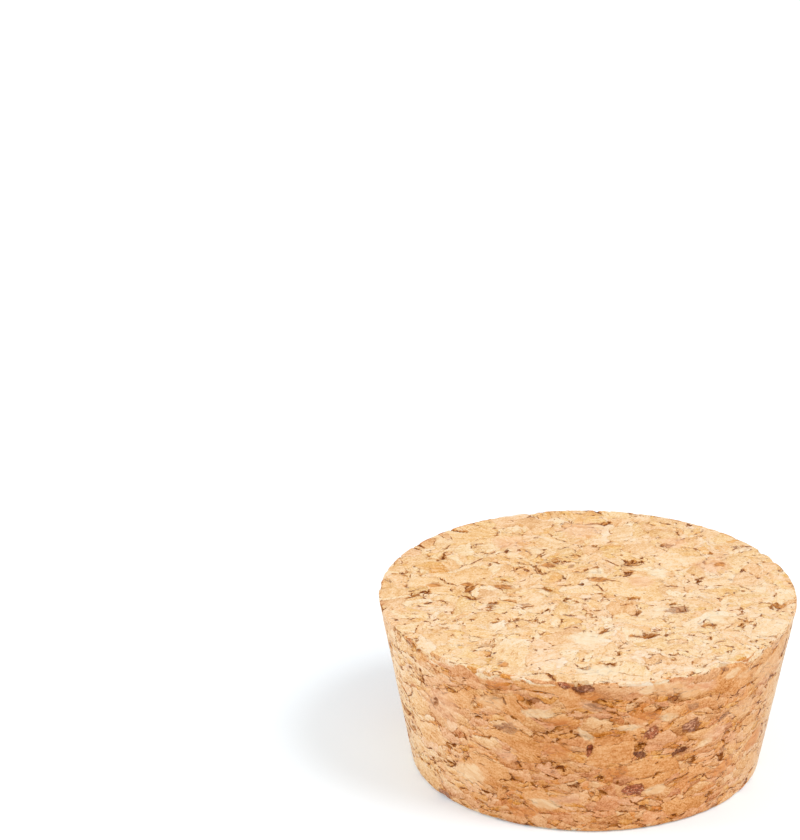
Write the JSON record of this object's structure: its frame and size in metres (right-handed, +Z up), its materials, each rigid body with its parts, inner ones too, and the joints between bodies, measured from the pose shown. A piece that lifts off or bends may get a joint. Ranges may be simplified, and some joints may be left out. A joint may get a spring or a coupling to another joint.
{
  "type": "cork stopper",
  "caption": "Tapered round stopper of pressed cork granules with two flat ends, pushed small end first into a jar or flask neck to close it.",
  "frame": {"origin": "centre of the small end, on which the stopper stands", "axes": "+Z up the stopper's axis to the large end, -Y towards the front"},
  "size_m": [0.0758, 0.0758, 0.0323],
  "materials": {
    "cork": "ground agglomerated cork, matt, with torn-out granules"
  },
  "bodies": {
    "root": {"stopper": "cork"}
  },
  "joints": []
}
